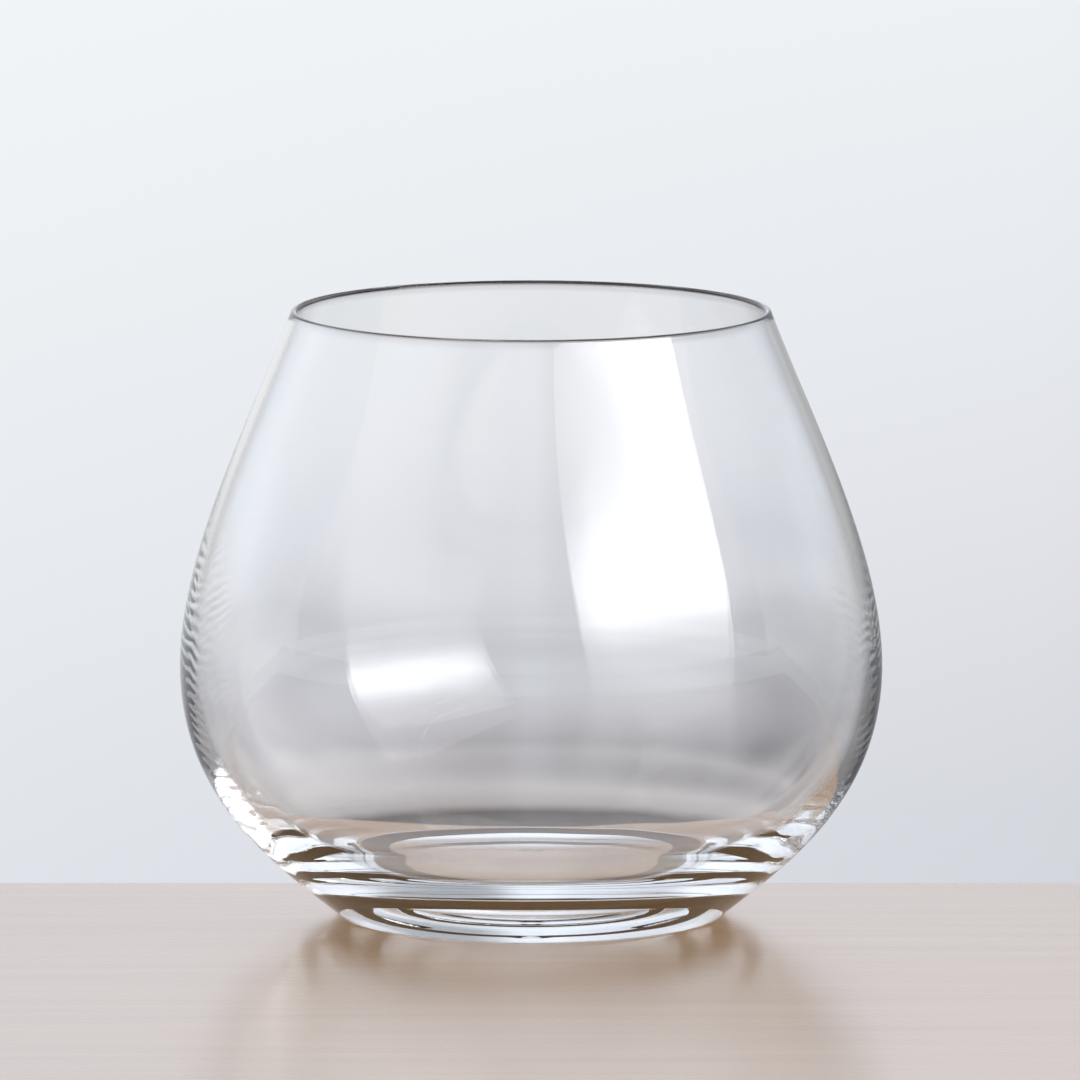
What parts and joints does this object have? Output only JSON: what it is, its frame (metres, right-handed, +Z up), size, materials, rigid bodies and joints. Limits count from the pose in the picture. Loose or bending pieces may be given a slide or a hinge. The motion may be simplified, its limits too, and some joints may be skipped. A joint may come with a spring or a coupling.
{
  "type": "stemless wine glass",
  "caption": "Stemless wine glass: a clear round bowl that narrows to a thin rounded lip and stands on a heavy base with a shallow hollow underneath.",
  "frame": {"origin": "middle of the standing ring, on the surface that the glass stands on", "axes": "+Z up along the bowl's axis of turning; X and Y are alike, and the picture looks along +Y"},
  "size_m": [0.102, 0.102, 0.0885],
  "materials": {
    "clear_glass": "clear, blown and fire-polished"
  },
  "bodies": {
    "root": {"glass": "clear_glass"}
  },
  "joints": []
}
